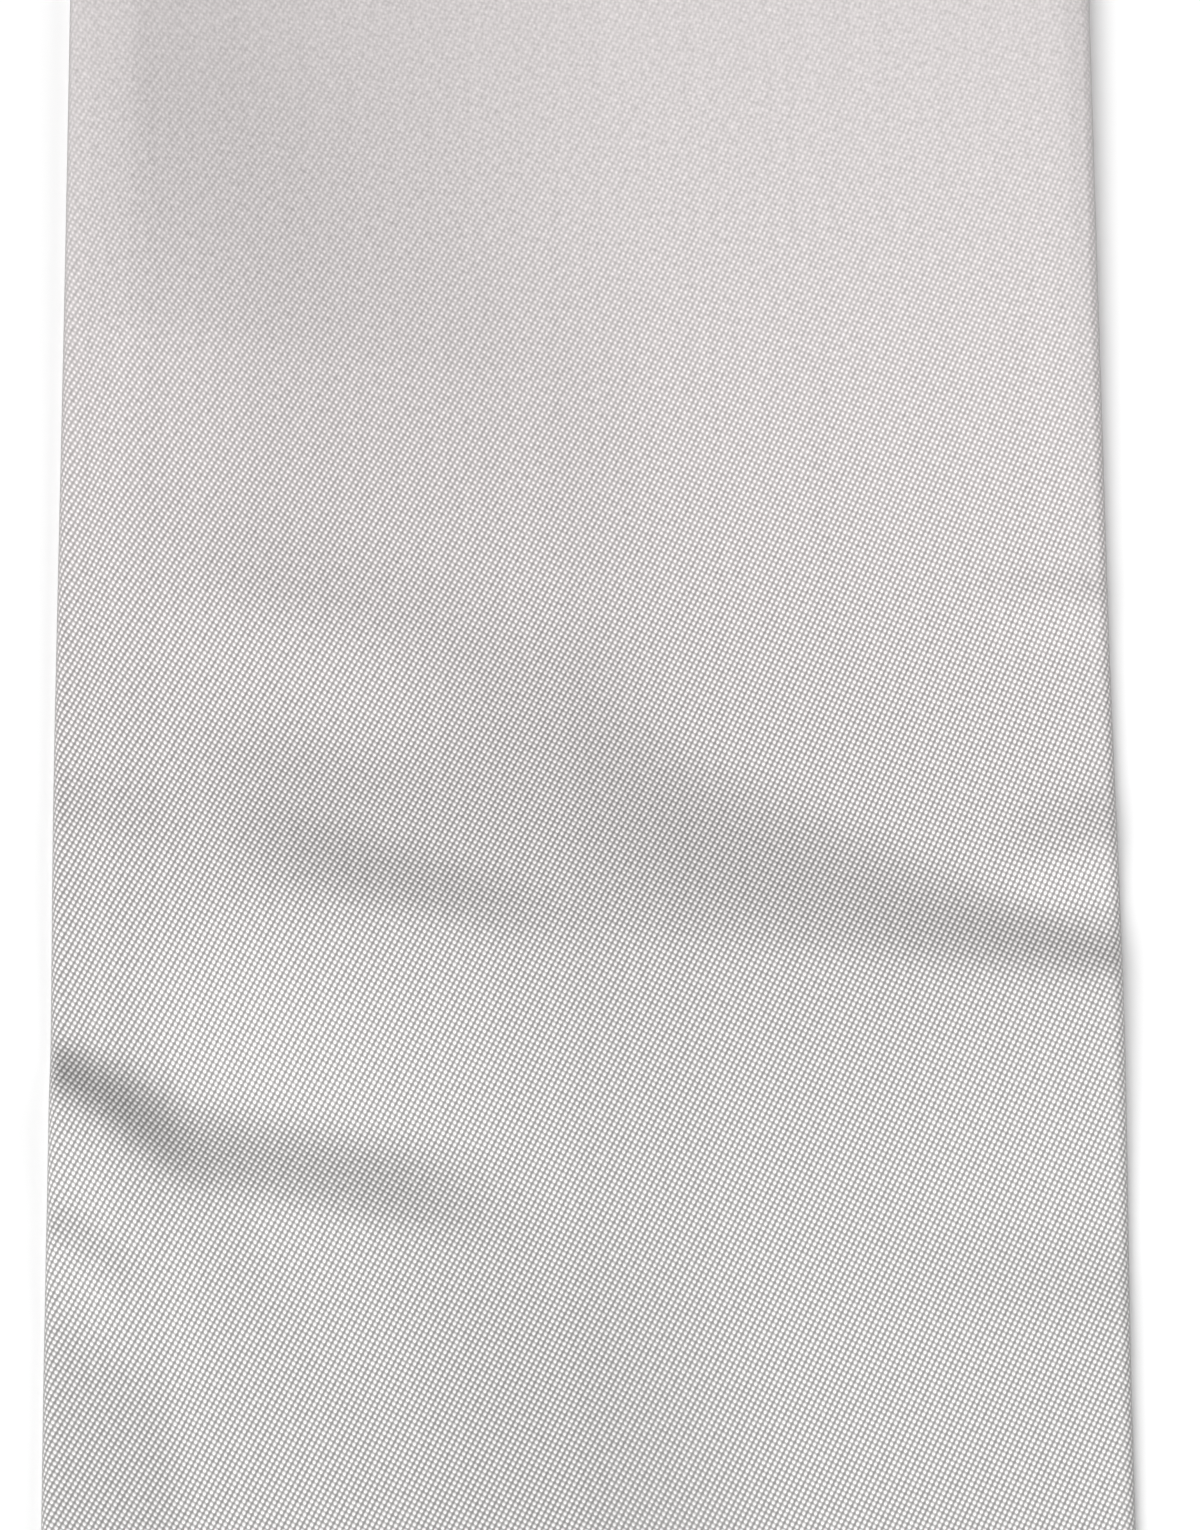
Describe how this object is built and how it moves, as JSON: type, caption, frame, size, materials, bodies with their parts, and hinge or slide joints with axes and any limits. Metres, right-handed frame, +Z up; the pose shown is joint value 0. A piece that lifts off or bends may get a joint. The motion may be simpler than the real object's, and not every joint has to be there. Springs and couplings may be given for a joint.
{
  "type": "evening stole",
  "caption": "Long straight evening stole of pale silver satin, a flat tube of doubled cloth with soft folded edges, laid out flat with low waves and creases.",
  "frame": {"origin": "on the surface that the stole lies on, under the middle of its length and width", "axes": "+Z up from the surface, +Y along the stole away from the picture's camera, +X across it to the right"},
  "size_m": [0.1509, 1.3, 0.0116],
  "materials": {
    "satin": "pale silver satin with a soft sheen"
  },
  "bodies": {
    "root": {"front": "satin", "back_left": "satin", "back_right": "satin"}
  },
  "joints": []
}
